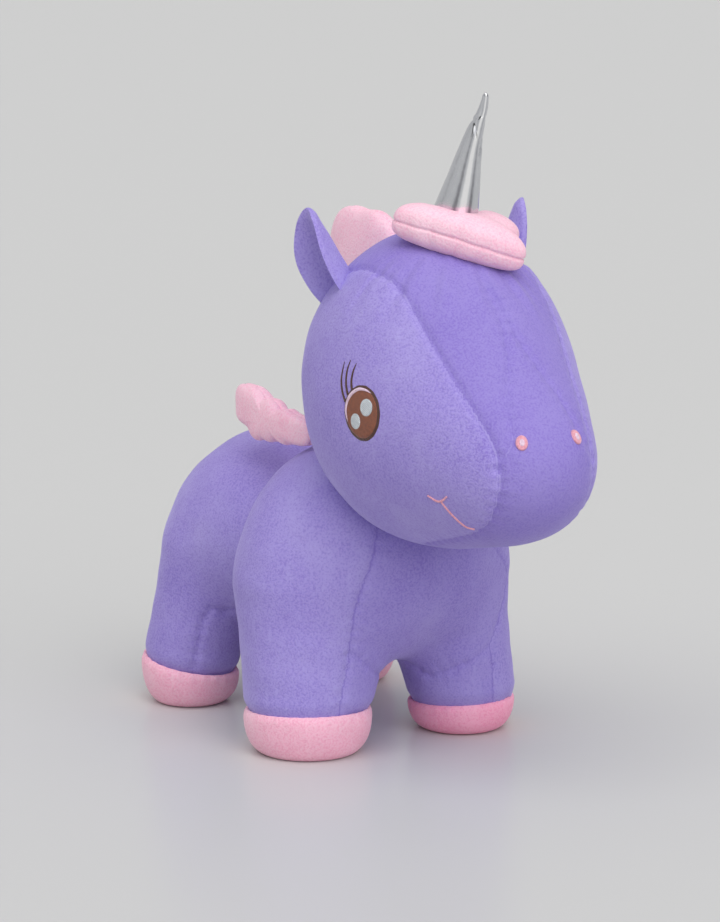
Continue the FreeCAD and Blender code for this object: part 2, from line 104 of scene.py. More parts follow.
CAMERA_AZIMUTH, CAMERA_ELEVATION, CAMERA_DISTANCE = math.radians(-30), math.radians(11), 2.2
AIM_RIGHT, AIM_UP = 0.0203, 0.1403
cos_a, sin_a = math.cos(CAMERA_AZIMUTH), math.sin(CAMERA_AZIMUTH)
cos_e, sin_e = math.cos(CAMERA_ELEVATION), math.sin(CAMERA_ELEVATION)
right = np.array((cos_a, sin_a, 0))
up = np.array((-sin_a * sin_e, cos_a * sin_e, cos_e))
back = np.array((sin_a * cos_e, -cos_a * cos_e, sin_e))
lens = bpy.data.cameras.new("camera")
lens.lens = 153.4
lens.sensor_width = 36
lens.clip_end = 100
camera = bpy.data.objects.new("camera", lens)
eye_point = feet + right * AIM_RIGHT + up * AIM_UP + back * CAMERA_DISTANCE
turned = np.stack([right, up, back], 1)
camera.matrix_world = Matrix([[*row, at] for row, at in zip(turned, eye_point)] + [[0, 0, 0, 1]])
bpy.context.scene.collection.objects.link(camera)
bpy.context.scene.camera = camera

# ---------------------------------------------------------------------------
# Torso skin.
# Short-pile knitted plush in one colour: two side panels, a chest panel, a
# belly panel and four inner leg panels, sewn inside out, turned and stuffed.
# ---------------------------------------------------------------------------
MM = 0.001
BODY_MELT = 7.0
BARREL = (((0, 38.1, 101), (63.3, 65.6, 55.9)), ((0, -56.7, 107), (74, 56, 62.1)))
LEG_TOP = 85.0
LEG_FOOT = 22.0
LEG_LEAN = 0.86
LEGS = {"front_right": (-46.7, -65.4, 40.1, 34.7), "front_left": (51.2, -63.4, 33.2, 29.3),
        "hind_right": (-51.7, 61.9, 24.6, 27.2), "hind_left": (51.7, 61.9, 24.6, 27.2)}
SKIN_END = 9.0
HOOF_TOPS = {"front_right": (23.5, (1.0, 2.4)), "front_left": (17.0, (0.5, 1.5)),
             "hind_right": (23.0, (3.5, -3.5)), "hind_left": (23.0, (3.5, -3.5))}
ANKLE_DEEP, ANKLE_HIGH = 2.6, 7.0
SKIN_VOXEL = 3.0


def placed(points):
    """Turns millimetres from the middle of the four feet, on the floor, into metres in the frame."""
    return np.asarray(points, float) * MM + feet


def melt(distances, width):
    """Soft minimum of several distances: minus width times the log of the sum of exp(-distance / width)."""
    stack = np.stack(distances)
    least = stack.min(0)
    return least - width * np.log(np.exp((least - stack) / width).sum(0))


def ball_distance(points, middle, half_sizes):
    """Near distance to an ellipsoid: k0 (k0 - 1) / k1, the lengths of p over its half sizes once and twice."""
    scaled = (points - np.array(middle)) / np.array(half_sizes)
    once = np.linalg.norm(scaled, axis=-1)
    twice = np.linalg.norm(scaled / np.array(half_sizes), axis=-1)
    return once * (once - 1) / np.maximum(twice, 1e-9)


def leg_distance(points, x, y, top_radius, foot_radius):
    """Distance to a tapered rod with round ends: distance to its axis less a radius that runs along it."""
    start, end = np.array((LEG_LEAN * x, LEG_LEAN * y, LEG_TOP)), np.array((x, y, LEG_FOOT))
    along = np.clip((points - start) @ (end - start) / ((end - start) @ (end - start)), 0, 1)
    return np.linalg.norm(points - start - along[..., None] * (end - start), axis=-1) \
        - (top_radius + (foot_radius - top_radius) * along)


def body_field(points):
    """Negative inside the torso: the melt of rump, chest and legs, cut level just above the soles."""
    parts = [ball_distance(points, *ball) for ball in BARREL]
    parts += [leg_distance(points, *leg) for leg in LEGS.values()]
    return np.maximum(melt(parts, BODY_MELT), SKIN_END - points[..., 2])


def settle(points, field, rounds=6, step=0.2):
    """Slides points onto the zero of a field along its slope: p less f times the gradient over its square."""
    for _ in range(rounds):
        here = field(points)
        slope = np.stack([field(points + step * axis) - here for axis in np.eye(3)], -1) / step
        size = np.maximum((slope ** 2).sum(-1, keepdims=True), 0.2)
        points = points - np.clip(here, -8, 8)[:, None] * slope / size
    return points, slope / np.sqrt((slope ** 2).sum(-1, keepdims=True))


def ring_mesh(name, rings):
    """A closed surface from rings of points, with a pole at the mean of each end ring and outward faces."""
    rows, cols = rings.shape[:2]
    points = np.vstack([rings.reshape(-1, 3), rings[0].mean(0), rings[-1].mean(0)])
    row, col = np.arange(rows - 1)[:, None] * cols, np.arange(cols)
    after = (col + 1) % cols
    quads = np.stack([row + col, row + after, row + cols + after, row + cols + col], -1).reshape(-1, 4)
    foot = np.stack([np.full(cols, rows * cols), after, col], -1)
    head = np.stack([np.full(cols, rows * cols + 1), (rows - 1) * cols + col, (rows - 1) * cols + after], -1)
    triangles = np.vstack([quads[:, :3], quads[:, [0, 2, 3]], foot, head])
    a, b, c = (points[triangles[:, i]] - points.mean(0) for i in range(3))
    if (a * np.cross(b, c)).sum() < 0:
        quads, foot, head = quads[:, ::-1], foot[:, ::-1], head[:, ::-1]
    mesh = bpy.data.meshes.new(name)
    mesh.from_pydata(placed(points).tolist(), [], quads.tolist() + foot.tolist() + head.tolist())
    mesh.validate()
    mesh.shade_smooth()
    return mesh


def ball_rings(middle, half_sizes, rows=24, cols=36):
    """Rings of an ellipsoid: sine and cosine of the height angle times those of the angle round."""
    height = np.linspace(-math.pi / 2, math.pi / 2, rows + 2)[1:-1, None]
    turn = np.linspace(0, 2 * math.pi, cols, endpoint=False)[None]
    unit = np.stack([np.cos(height) * np.cos(turn), np.cos(height) * np.sin(turn),
                     np.sin(height) * np.ones_like(turn)], -1)
    return np.array(middle) + unit * np.array(half_sizes)


def as_object(name, mesh):
    """Puts a mesh in the scene as an object at the origin."""
    piece = bpy.data.objects.new(name, mesh)
    bpy.context.scene.collection.objects.link(piece)
    return piece


def joined(name, meshes):
    """One object that holds several meshes side by side."""
    points, faces = [], []
    for mesh in meshes:
        faces += [[v + len(points) for v in face.vertices] for face in mesh.polygons]
        points += [v.co.copy() for v in mesh.vertices]
    mesh = bpy.data.meshes.new(name)
    mesh.from_pydata(points, [], faces)
    return as_object(name, mesh)


def baked(piece):
    """Replaces a piece's mesh by what its modifiers make of it."""
    mesh = bpy.data.meshes.new_from_object(piece.evaluated_get(bpy.context.evaluated_depsgraph_get()))
    piece.modifiers.clear()
    piece.data = mesh
    mesh.shade_smooth()


def points_of(mesh):
    """A mesh's points in millimetres from the middle of the feet."""
    flat = np.empty(len(mesh.vertices) * 3)
    mesh.vertices.foreach_get("co", flat)
    return (flat.reshape(-1, 3) - feet) / MM


def put_points(mesh, points):
    """Writes points, in millimetres from the middle of the feet, back into a mesh."""
    mesh.vertices.foreach_set("co", placed(points).ravel())
    mesh.update()


def smooth_line(points, count=60):
    """A line through a few points, as cubic pieces with Catmull-Rom slopes."""
    points = np.asarray(points, float)
    ends = np.vstack([2 * points[0] - points[1], points, 2 * points[-1] - points[-2]])
    t = np.linspace(0, len(points) - 1 - 1e-9, count)
    i = t.astype(int)
    s = (t - i)[:, None]
    a, b, c, d = (ends[i + k] for k in range(4))
    return 0.5 * (2 * b + (c - a) * s + (2 * a - 5 * b + 4 * c - d) * s ** 2 + (3 * b - a - 3 * c + d) * s ** 3)


def line_distance(points, line):
    """Distance from each point to a line of short straight pieces, and how far along it the nearest is."""
    best, along = np.full(len(points), 1e9), np.zeros(len(points))
    travelled = 0.0
    for start, end in zip(line[:-1], line[1:]):
        run = end - start
        length = np.linalg.norm(run)
        t = np.clip((points - start) @ run / (length * length), 0, 1)
        gap = np.linalg.norm(points - start - t[:, None] * run, axis=1)
        nearer = gap < best
        best[nearer], along[nearer] = gap[nearer], travelled + t[nearer] * length
        travelled += length
    return best, along


GROOVE_DEEP, GROOVE_WIDE = 1.1, 2.2
PUCKER_DEEP, PUCKER_PITCH = 0.22, 7.0


def sewn(points, normals, lines):
    """Presses seams into a skin: a bell-shaped groove along each line, and puckers that die away from it."""
    nearest = np.full(len(points), 99.0)
    for line in lines:
        gap, along = line_distance(points, line)
        pucker = PUCKER_DEEP * np.sin(2 * math.pi * along / PUCKER_PITCH) * np.exp(-(gap / 6) ** 2)
        points = points - normals * (GROOVE_DEEP * np.exp(-(gap / GROOVE_WIDE) ** 2) + pucker)[:, None]
        nearest = np.minimum(nearest, gap)
    return points, nearest


def waves(points, seed, size, count=6):
    """Soft random unevenness between -1 and 1: the mean of plane sine waves of about one length."""
    draw = np.random.default_rng(seed)
    way = draw.normal(size=(count, 3))
    way /= np.linalg.norm(way, axis=1)[:, None]
    way *= 2 * math.pi / size * draw.uniform(0.6, 1.5, (count, 1))
    return np.sin(points @ way.T + draw.uniform(0, 6.28, count)).mean(1)


def both_sides(lines):
    """The lines and their mirror images."""
    return lines + [line * (-1, 1, 1) for line in lines]


def set_value(mesh, name, values):
    """A number at every point of a mesh, for its material."""
    layer = mesh.attributes.new(name, "FLOAT", "POINT")
    layer.data.foreach_set("value", np.asarray(values, np.float32))


def sided(points, line):
    """Distance to a seam, below nought on the side nearer the middle plane."""
    best, sign = np.full(len(points), 1e9), np.ones(len(points))
    for place in line:
        gap = np.linalg.norm(points - place, axis=1)
        nearer = gap < best
        best[nearer] = gap[nearer]
        sign[nearer] = np.sign(np.abs(points[nearer, 0]) - abs(place[0]))
    gap, _ = line_distance(points, line)
    return gap * sign


def link(tree, source, target):
    """Joins an output socket to an input socket."""
    tree.links.new(source, target)


def add_node(tree, kind, **values):
    """A shader node, with its sockets set by name and its own settings by lower-case name."""
    item = tree.nodes.new(kind)
    for word, value in values.items():
        if hasattr(item, word):
            setattr(item, word, value)
        else:
            item.inputs[word.replace("_", " ")].default_value = value
    return item


def noise_of(tree, coordinates, size, detail=2.0, stretch=(1, 1, 1)):
    """Noise whose spots are about one size in metres, drawn out along the axes."""
    mapping = add_node(tree, "ShaderNodeMapping")
    mapping.inputs["Scale"].default_value = [1 / (size * s) for s in stretch]
    link(tree, coordinates, mapping.inputs["Vector"])
    noise = add_node(tree, "ShaderNodeTexNoise", Scale=1.0, Detail=detail)
    link(tree, mapping.outputs["Vector"], noise.inputs["Vector"])
    return noise.outputs["Fac"]


def ramp(tree, value, low, high, to_low=0.0, to_high=1.0):
    """Maps a value from one range to another, smoothly and held at the ends."""
    node = add_node(tree, "ShaderNodeMapRange", interpolation_type="SMOOTHSTEP")
    for slot, number in zip((1, 2, 3, 4), (low, high, to_low, to_high)):
        node.inputs[slot].default_value = number
    link(tree, value, node.inputs[0])
    return node.outputs[0]


def mixed(tree, factor, first, second, blend="MIX"):
    """Mixes two colours, each a colour or a socket, by a factor socket or number."""
    node = add_node(tree, "ShaderNodeMix", data_type="RGBA", blend_type=blend)
    for slot, value in zip((0, 6, 7), (factor, first, second)):
        if isinstance(value, (tuple, float, int)):
            node.inputs[slot].default_value = value
        else:
            link(tree, value, node.inputs[slot])
    return node.outputs[2]


def linear(red, green, blue):
    """A colour given in display steps of 0 to 255, as linear light."""
    steps = np.array((red, green, blue)) / 255
    values = np.where(steps <= 0.04045, steps / 12.92, ((steps + 0.055) / 1.055) ** 2.4)
    return (*(float(v) for v in values), 1.0)


def pile(name, brushed_up_and_light, plain, brushed_down_and_shade, sheen, sheen_tint, seams=(), inner_shade=0.15,
         edge_light=0.0):
    """Short plush: fibre grain, patches brushed either way, soft sheen, and along the seams painted shade in a dark
    crease, painted shade over the side nearer the middle and a painted light line.
    """
    material = bpy.data.materials.new(name)
    material.use_nodes = True
    tree = material.node_tree
    shader = tree.nodes["Principled BSDF"]
    where = add_node(tree, "ShaderNodeTexCoord").outputs["Object"]
    patches = noise_of(tree, where, 0.030, 3.0, (1, 1, 1.5))
    streaks = noise_of(tree, where, 0.0035, 3.0, (1, 1, 3.5))
    grain = noise_of(tree, where, 0.0011, 2.0)
    colour = mixed(tree, ramp(tree, patches, 0.42, 0.80, 0.0, 0.6), plain, brushed_up_and_light)
    colour = mixed(tree, ramp(tree, patches, 0.46, 0.20, 0.0, 0.45), colour, brushed_down_and_shade)
    colour = mixed(tree, ramp(tree, streaks, 0.58, 0.80, 0.0, 0.45), colour, brushed_up_and_light)
    colour = mixed(tree, ramp(tree, grain, 0.40, 0.62, 0.0, 0.42), colour, brushed_up_and_light)
    colour = mixed(tree, ramp(tree, grain, 0.48, 0.30, 0.0, 0.30), colour, brushed_down_and_shade)
    # Along each seam: painted shade in a dark crease, painted shade over the side nearer the middle by inner_shade,
    # and a painted light line right on the seam by edge_light.
    for seam in seams:
        gap = add_node(tree, "ShaderNodeAttribute", attribute_name=seam).outputs["Fac"]
        absolute = add_node(tree, "ShaderNodeMath", operation="ABSOLUTE")
        link(tree, gap, absolute.inputs[0])
        colour = mixed(tree, ramp(tree, absolute.outputs[0], 0.0, 1.6, 0.6, 0.0), colour, brushed_down_and_shade)
        colour = mixed(tree, ramp(tree, gap, -1.5, 0.5, inner_shade, 0.0), colour, brushed_down_and_shade)
        colour = mixed(tree, ramp(tree, absolute.outputs[0], 0.2, 0.9, edge_light, 0.0), colour, brushed_up_and_light)
    link(tree, colour, shader.inputs["Base Color"])
    shader.inputs["Roughness"].default_value = 0.85
    shader.inputs["Specular IOR Level"].default_value = 0.15
    shader.inputs["Sheen Weight"].default_value = sheen
    shader.inputs["Sheen Roughness"].default_value = 0.38
    shader.inputs["Sheen Tint"].default_value = sheen_tint
    height = mixed(tree, 0.35, grain, noise_of(tree, where, 0.0024, 2.0, (1, 1, 2.2)))
    bump = add_node(tree, "ShaderNodeBump", Strength=0.8, Distance=0.0007)
    link(tree, height, bump.inputs["Height"])
    link(tree, bump.outputs["Normal"], shader.inputs["Normal"])
    return material


# Lighter, plain and darker pile tones. The darker one also paints shade along the seams, and the lighter one paints a
# light line on the head's seams.
PURPLE_UP_AND_LIGHT, PURPLE, PURPLE_DOWN_AND_SHADE = linear(178, 167, 226), linear(156, 140, 214), linear(126, 106, 194)
LILAC_SHEEN = linear(214, 205, 250)

CHEST_SEAM = smooth_line([(-26, -106, 134), (-28.7, -107.3, 119.7), (-32.1, -107.9, 107.8), (-37.7, -104.9, 90),
                          (-39.2, -100.1, 69.1), (-40.3, -98.7, 53.6), (-44.9, -99.3, 34.7), (-46, -99, 18)])
LEFT_SEAM = smooth_line([(34, -106, 134), (48, -101, 112), (62, -88, 96), (68.8, -82.2, 86.6), (65.8, -84, 73.3),
                         (58.6, -88.5, 59.9), (54.4, -90.3, 50.4), (54.9, -91.4, 35.2), (53.8, -92.5, 20.4)])
CROTCH_SEAMS = [smooth_line([(-40.5, -98.7, 58), (-35.9, -98.6, 56.9), (-26, -93, 49), (-15.5, -86.8, 42.4),
                             (-8, -70, 42), (-6, -40, 46), (-6, 0, 48), (-6, 40, 46), (-12, 70, 42)]),
                smooth_line([(6, 70, 42), (6, 40, 46), (6, 0, 48), (6, -40, 46), (14, -68, 38),
                             (22.3, -76.1, 34.8), (26.4, -81.9, 36.7), (39.3, -90, 43), (54.4, -90.3, 50.4)])]
HIND_SEAM = smooth_line([(-47.2, 27, 57.2), (-54.5, 29.7, 59.3), (-56.2, 31.3, 56.3), (-58.9, 33.5, 50.4),
                         (-60.5, 35.4, 35.3), (-62.4, 36.8, 23.2), (-63, 37, 16)])
SIDE_LOW_SEAM = smooth_line([(-47.2, 27, 57.2), (-40, 10, 56), (-36, -10, 54), (-40, -26, 50),
                             (-48, -34, 36), (-52, -34, 16)])
BODY_SEAMS = [CHEST_SEAM, LEFT_SEAM] + CROTCH_SEAMS + both_sides([HIND_SEAM, SIDE_LOW_SEAM])

torso_skin = joined("torso_skin", [ring_mesh("part", ball_rings(*ball)) for ball in BARREL]
                    + [ring_mesh("part", ball_rings((x * 0.93, y * 0.93, 50), (foot * 0.95, foot * 0.95, 44)))
                       for x, y, top, foot in LEGS.values()])
remesh = torso_skin.modifiers.new("remesh", "REMESH")
remesh.mode = "VOXEL"
remesh.voxel_size = SKIN_VOXEL * MM
baked(torso_skin)
points, normals = settle(points_of(torso_skin.data), body_field, rounds=10)
put_points(torso_skin.data, points)
finer = torso_skin.modifiers.new("finer", "SUBSURF")
finer.levels = finer.render_levels = 1
baked(torso_skin)
points, normals = settle(points_of(torso_skin.data), body_field)
lines = [settle(line, body_field)[0] for line in BODY_SEAMS]
leg_gaps = [np.hypot(points[:, 0] - x, points[:, 1] - y) for x, y, _, _ in LEGS.values()]
nearest_leg = np.argmin(leg_gaps, axis=0)
for number, (foot, (x, y, _, radius)) in enumerate(LEGS.items()):
    top, (out_slope, front_slope) = HOOF_TOPS[foot]
    rim = top + (out_slope * np.sign(x) * (points[:, 0] - x) - front_slope * (points[:, 1] - y)) / radius
    ankle = np.clip((rim + ANKLE_HIGH - points[:, 2]) / ANKLE_HIGH, 0, 1) ** 2
    ankle = ankle * ANKLE_DEEP * (nearest_leg == number)
    points = points - normals * (ankle * (1 - np.abs(normals[:, 2])))[:, None]
points = points + normals * (waves(points, 3, 60) * 1.1 + waves(points, 4, 24) * 0.35)[:, None]
points, nearest = sewn(points, normals, lines)
put_points(torso_skin.data, points)
# Distances to the seams, for the material's painted shade: a dark crease along every seam, and darker shade over the
# chest panel on the middle side of the two front seams.
side_gap = np.full(len(points), 99.0)
for line in lines[:2]:
    gap = sided(points, line)
    side_gap = np.where(np.abs(gap) < np.abs(side_gap), gap, side_gap)
other_gap = np.min([line_distance(points, line)[0] for line in lines[2:]], axis=0)
set_value(torso_skin.data, "side_gap", np.where(points[:, 1] < -60, side_gap, 99.0))
set_value(torso_skin.data, "other_gap", other_gap)
purple_body = pile("purple_plush_torso", PURPLE_UP_AND_LIGHT, PURPLE, PURPLE_DOWN_AND_SHADE, 0.55, LILAC_SHEEN,
                   ("side_gap", "other_gap"))
torso_skin.data.materials.append(purple_body)
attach(torso_skin, "torso")
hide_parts("belly_panel", "chest_panel", "torso_stuffing",
            *[f"side_panel_{side}" for side in SIDES],
            *[f"inner_leg_panel_{foot}" for foot in LEGS], *[f"leg_stuffing_{foot}" for foot in LEGS])

# ---------------------------------------------------------------------------
# Hooves.
# Each is a pink plush cap: a band sewn to the leg's end, with an oval sole, so
# it swells a little at half height and rounds in to a flat resting face.
# ---------------------------------------------------------------------------
HOOF_PROFILE = [(-9.0, 0.78), (-4.5, 0.90), (-2.8, 0.975), (-1.8, 1.0), (-0.8, 0.97), (0.1, 0.86),
                (0.0, 0.68), (-0.9, 0.48), (-2.6, 0.28), (-5.0, 0.12), (-8.0, 0.02), (-10.8, 0.0), (-16, 0.0)]
HOOF_COLUMNS = 120

pink_hoof = pile("pink_plush_hooves", linear(255, 214, 228), linear(250, 182, 206),
                 linear(233, 146, 182), 0.45, linear(255, 225, 235))
# A shaded copy of the hoof pink, darker and deeper, for the front left hoof alone: painted shade.
shaded_pink_hoof = pile("shaded_pink_plush_hoof", linear(255, 192, 214), linear(250, 158, 192),
                      linear(236, 126, 170), 0.45, linear(255, 212, 228))
for foot, (x, y, _, radius) in LEGS.items():
    side = 1 if x > 0 else -1
    top, (out_slope, front_slope) = HOOF_TOPS[foot]
    profile = smooth_line([(r, z, 0) for r, z in HOOF_PROFILE], 64)
    turn = np.linspace(0, 2 * math.pi, HOOF_COLUMNS, endpoint=False)[None]
    height = top + out_slope * side * np.cos(turn) - front_slope * np.sin(turn)
    share = profile[:, 1:2]
    near_seam = np.exp(-((share - 1) / 0.2) ** 2)
    pucker = 0.3 * np.sin(turn * round(2 * math.pi * radius / PUCKER_PITCH)) * near_seam
    reach = radius + profile[:, :1] + pucker
    rings = np.stack([x + reach * np.cos(turn), y + reach * np.sin(turn), np.maximum(share * height, 0)], -1)
    uneven = waves(rings.reshape(-1, 3), 11, 26).reshape(rings.shape[:2]) * 0.5 * np.clip(share * 6, 0, 1)
    rings[..., 0] += uneven * np.cos(turn)
    rings[..., 1] += uneven * np.sin(turn)
    hoof = as_object(f"hoof_{foot}", ring_mesh(f"hoof_{foot}", rings))
    # The front left hoof takes the shaded pink: painted shade.
    hoof.data.materials.append(shaded_pink_hoof if foot == "front_left" else pink_hoof)
    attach(hoof, "torso")
    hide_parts(f"hoof_band_{foot}", f"hoof_sole_{foot}")

# ---------------------------------------------------------------------------
# Head skin.
# The same purple plush: two cheeks, two brow pieces with a dart down to the
# nose, and a muzzle, sewn to one ball that is stuffed firmly and set on the neck.
# ---------------------------------------------------------------------------
HEAD_MELT = 4.0
SKULL = np.array(((0, -119.9, 203.9), (69.7, 72, 82.6)))
MUZZLE = np.array(((0, -197.7, 172.1), (40.5, 40.1, 36.2)))
HEAD_MIDDLE = np.array((0, -145, 200.0))
HEAD_ROWS, HEAD_COLUMNS = 240, 380
FOLD_DEEP = 0.55
MIDDLE_EASE = 4.0


def head_field(points):
    """Negative inside the head: the melt of six ellipsoids that lead from the skull to the muzzle."""
    steps = [SKULL + (MUZZLE - SKULL) * share for share in np.linspace(0, 1, 6)]
    return melt([ball_distance(points, *step) for step in steps], HEAD_MELT)


def head_reach(ways):
    """How far the head's skin lies from its middle along unit directions, found by halving."""
    near, far = np.full(len(ways), 10.0), np.full(len(ways), 170.0)
    for _ in range(20):
        half = (near + far) / 2
        inside = head_field(HEAD_MIDDLE + ways * half[:, None]) < 0
        near, far = np.where(inside, half, near), np.where(inside, far, half)
    return (near + far) / 2


def on_head(points):
    """Moves points on to the head's skin along lines from its middle, and gives the skin's outward normals."""
    ways = points - HEAD_MIDDLE
    ways = ways / np.linalg.norm(ways, axis=-1, keepdims=True)
    points = HEAD_MIDDLE + ways * head_reach(ways)[:, None]
    return points, settle(points, head_field, rounds=1)[1]


def uneven_head(points, normals):
    """The head's slight lumps of filling under the skin, along its normals, the same on both sides."""
    folded = np.column_stack([-np.sqrt(points[:, 0] ** 2 + MIDDLE_EASE ** 2), points[:, 1:]])
    return points + normals * (waves(folded, 21, 70) * 0.9 + waves(folded, 22, 26) * 0.35)[:, None]


CHEEK_SEAM = smooth_line([(-45, -90, 262), (-43.7, -114.4, 268), (-43.1, -130.7, 267.9), (-40.7, -151.9, 261.2),
                          (-38.5, -178, 238.9), (-33.8, -199.6, 216.1), (-28.7, -220.2, 193.4), (-27.7, -227.3, 179.3),
                          (-27.7, -226.5, 163.9), (-27, -216.2, 149.2), (-27.5, -204.5, 142.9), (-27, -180, 132),
                          (-24, -150, 122)], 90)
NOSE_DART = smooth_line([(-1, -172, 260), (-1, -179.5, 256.1), (-5, -199.3, 234), (-15.1, -215.2, 211.7),
                         (-19.4, -226.1, 194.6), (-22.8, -227.8, 188), (-28.5, -226.6, 179.3)])

rings = ball_rings((0, 0, 0), (1, 1, 1), HEAD_ROWS, HEAD_COLUMNS)
points, normals = on_head(HEAD_MIDDLE + rings.reshape(-1, 3))
head_lines = [settle(line, head_field)[0] for line in both_sides([CHEEK_SEAM, NOSE_DART])]
fold_turn = np.arctan2(points[:, 0] - 2, -(points[:, 1] + 135))
fold_near = np.exp(-((points[:, 2] - 262) / 12) ** 2) * (points[:, 1] < -130)
folds = FOLD_DEEP * fold_near * (np.sin(fold_turn * 17 + 0.6) + 0.6 * np.sin(fold_turn * 29 + 2))
points = uneven_head(points, normals) + normals * folds[:, None]
points, nearest = sewn(points, normals, head_lines)
head_mesh = ring_mesh("head_skin", points.reshape(rings.shape))
# Distances to the seams, for the material's painted shade and light: a dark crease along each seam, darker shade over
# the part of the head nearer the middle than the cheek seams, and a painted light line on the seams.
cheek_gap = np.where(np.abs(sided(points, head_lines[0])) < np.abs(sided(points, head_lines[2])),
                     sided(points, head_lines[0]), sided(points, head_lines[2]))
dart_gap = np.minimum(line_distance(points, head_lines[1])[0], line_distance(points, head_lines[3])[0])
set_value(head_mesh, "cheek_gap", np.append(cheek_gap, (-50, -50)))
set_value(head_mesh, "dart_gap", np.append(dart_gap, (50, 50)))
head_skin = as_object("head_skin", head_mesh)
purple_head = pile("purple_plush_head", PURPLE_UP_AND_LIGHT, PURPLE, PURPLE_DOWN_AND_SHADE, 0.55, LILAC_SHEEN,
                   ("cheek_gap", "dart_gap"), 0.40, 0.6)
head_mesh.materials.append(purple_head)
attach(head_skin, "head")
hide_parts("head_stuffing", "muzzle_panel",
            *[f"{panel}_panel_{side}" for panel in ("cheek", "brow") for side in SIDES])

# ---------------------------------------------------------------------------
# Embroidery: eyes, nostrils and mouth.
# Satin and fill stitch in rayon thread, worked through the skin before it was
# sewn up, so each patch stands about half a millimetre proud of the pile.
# ---------------------------------------------------------------------------
EYE_MIDDLE = (-65, -154, 199.8)
EYE_HALF = (12.4, 14.7)
EYE_BORDER = 1.25
HIGHLIGHTS = {"upper": ((3.7, 3.5), (4.2, 4.8)), "lower": ((-3.5, -4.5), (3.6, 4.4))}
LID_ARC = [(-9.6, -6.0), (-10.6, 1.1), (-8.2, 7.8), (-3, 12.0), (2.0, 12.4), (6.0, 11.2)]
LASHES = [[(-11.6, 4.6), (-14.4, 10.0), (-16.2, 17.0), (-16.4, 26)],
          [(-10.0, 8.4), (-12.0, 14.0), (-12.8, 21), (-11.8, 27.5)],
          [(-7.4, 11.6), (-8.4, 16.0), (-8.2, 21), (-7.0, 26)]]
NOSTRIL = (-15.8, -229, 192.0)
MOUTH_TICK = [(-46.7, -190, 161.7), (-44.1, -194.8, 159.4), (-43.4, -198.4, 160.0), (-43, -202.3, 162.8)]
MOUTH_LINE = [(-43.1, -197.5, 159.2), (-38.1, -200.8, 152.4), (-32.6, -203.6, 147.1), (-29.4, -207.3, 145.8)]
STITCH_ROWS = 40


def thread(name, colour, dark, pitch, turn):
    """Rayon embroidery: fine parallel stitches, each with its own small gloss and a dark gap beside it."""
    material = bpy.data.materials.new(name)
    material.use_nodes = True
    tree = material.node_tree
    shader = tree.nodes["Principled BSDF"]
    where = add_node(tree, "ShaderNodeTexCoord").outputs["Object"]
    mapping = add_node(tree, "ShaderNodeMapping")
    mapping.inputs["Rotation"].default_value = turn
    link(tree, where, mapping.inputs["Vector"])
    stitches = add_node(tree, "ShaderNodeTexWave", Scale=1 / pitch / 6.2832 * 2, Distortion=2.5,
                        Detail=2.0, Detail_Scale=2.0)
    link(tree, mapping.outputs["Vector"], stitches.inputs["Vector"])
    speckle = noise_of(tree, where, 0.0012, 2.0)
    tone = mixed(tree, ramp(tree, stitches.outputs["Fac"], 0.0, 0.45, 0.75, 0.0), colour, dark)
    tone = mixed(tree, ramp(tree, speckle, 0.60, 0.36, 0.0, 0.5), tone, dark)
    link(tree, tone, shader.inputs["Base Color"])
    shader.inputs["Roughness"].default_value = 0.42
    shader.inputs["Sheen Weight"].default_value = 0.2
    bump = add_node(tree, "ShaderNodeBump", Strength=0.6, Distance=0.0003)
    link(tree, stitches.outputs["Fac"], bump.inputs["Height"])
    link(tree, bump.outputs["Normal"], shader.inputs["Normal"])
    return material


def skin_frame(middle):
    """A place on the head with its normal and two directions along the skin: forwards and upwards."""
    places, normals = on_head(np.array([middle], float))
    normal = normals[0]
    upward = np.array((0, 0, 1)) - normal * normal[2]
    upward /= np.linalg.norm(upward)
    forward = np.cross(normal, upward)
    return places[0], forward * (-1 if forward[1] > 0 else 1), upward


def laid(middle, flat):
    """Lays points of a flat sheet, in millimetres forwards and upwards of a place, on the head's skin."""
    place, forward, upward = skin_frame(middle)
    places, normals = on_head(place + flat[:, :1] * forward + flat[:, 1:2] * upward)
    return uneven_head(places, normals), normals


def patch_rings(middle, offset, half_sizes, lift, tilt=0.0, fray=0.0):
    """A thin oval cushion on the skin: rings out over its top, over its rim and back under the skin."""
    share = np.concatenate([np.linspace(0.06, 0.9, 9), (0.97, 1.0, 0.97, 0.6)])
    height = np.concatenate([lift * (1 - np.linspace(0.06, 0.9, 9) ** 8 * 0.25), (lift * 0.55, 0.0, -0.5, -0.7)])
    turn = np.linspace(0, 2 * math.pi, 96, endpoint=False)
    edge = 1 + fray * np.sin(turn * 31) * np.sin(turn * 17 + 1)
    flat_a = half_sizes[0] * share[:, None] * (np.cos(turn) * edge)
    flat_b = half_sizes[1] * share[:, None] * (np.sin(turn) * edge)
    cos_t, sin_t = math.cos(tilt), math.sin(tilt)
    flat = np.stack([offset[0] + flat_a * cos_t - flat_b * sin_t,
                     offset[1] + flat_a * sin_t + flat_b * cos_t], -1)
    places, normals = laid(middle, flat.reshape(-1, 2))
    return (places + normals * np.repeat(height, len(turn))[:, None]).reshape(len(share), len(turn), 3)


def strip_rings(line, widths, lift):
    """A row of satin stitch: a flat oval section carried along a line on the skin, with its ends drawn in."""
    line, normals = on_head(line)
    line = uneven_head(line, normals)
    along = np.gradient(line, axis=0)
    across = np.cross(normals, along)
    across /= np.linalg.norm(across, axis=1)[:, None]
    turn = np.linspace(0, 2 * math.pi, 14, endpoint=False)
    width = np.interp(np.linspace(0, 1, len(line)), np.linspace(0, 1, len(widths)), widths) / 2
    return line[:, None] + across[:, None] * (width[:, None] * np.cos(turn))[..., None] \
        + normals[:, None] * (lift * np.minimum(width / 0.4, 1)[:, None] * np.sin(turn))[..., None]


